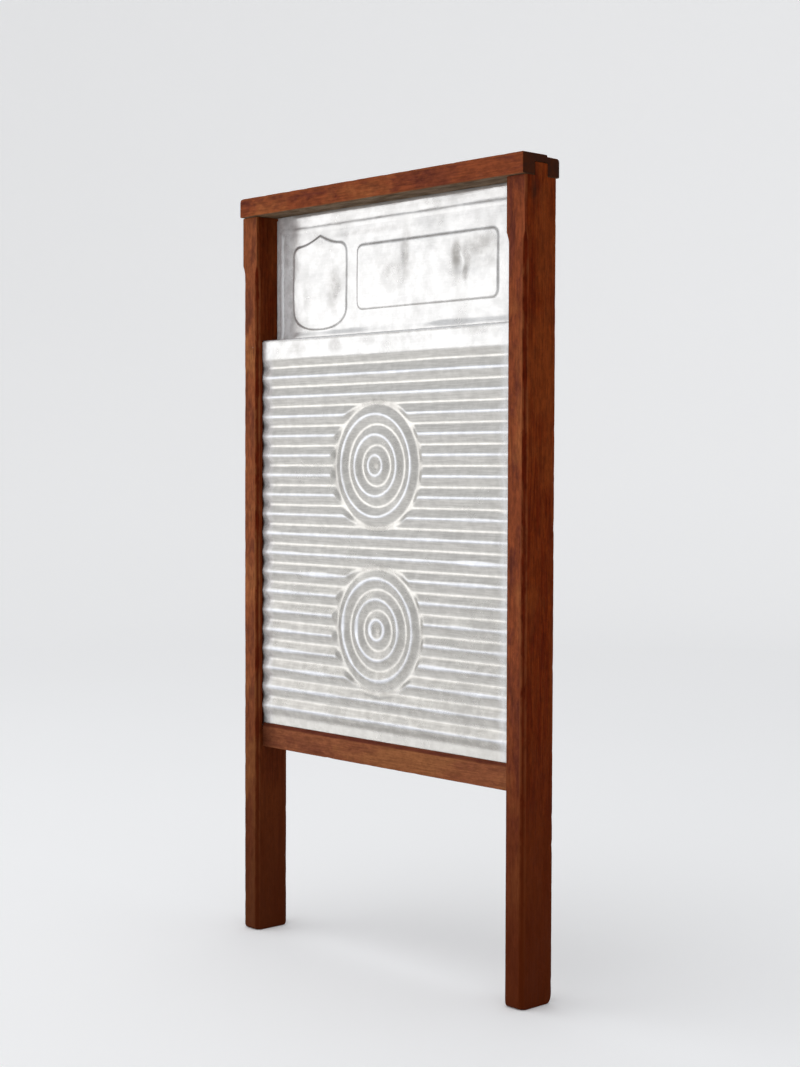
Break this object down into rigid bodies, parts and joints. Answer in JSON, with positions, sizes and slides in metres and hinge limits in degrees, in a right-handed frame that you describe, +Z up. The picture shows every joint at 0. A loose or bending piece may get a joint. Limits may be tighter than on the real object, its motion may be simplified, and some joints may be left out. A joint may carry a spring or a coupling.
{
  "type": "washboard",
  "caption": "Upright wooden washboard on two legs, with a corrugated metal rubbing sheet, ringed medallions and an embossed soap panel above a ledge.",
  "frame": {"origin": "on the ground, under the middle of the washboard's bounding box", "axes": "+Z up along the stiles, front face looks along -Y, +X to the right of someone facing the front"},
  "size_m": [0.323, 0.0384, 0.61],
  "materials": {
    "stained_wood": "worn reddish brown stain, satin",
    "bare_wood": "raw sawn wood",
    "sheet_metal": "bright worn sheet metal, semi-gloss",
    "nail_steel": "dull, slightly rusted"
  },
  "bodies": {
    "root": {"left_stile": "stained_wood", "right_stile": "stained_wood", "top_rail": "stained_wood", "bottom_rail": "stained_wood", "ledge_rail": "bare_wood", "rubbing_sheet": "sheet_metal", "soap_panel": "sheet_metal", "top_nail_left": "nail_steel", "top_nail_right": "nail_steel", "bottom_nail_left": "nail_steel", "bottom_nail_right": "nail_steel", "ledge_brad_left": "nail_steel", "ledge_brad_right": "nail_steel"}
  },
  "joints": []
}
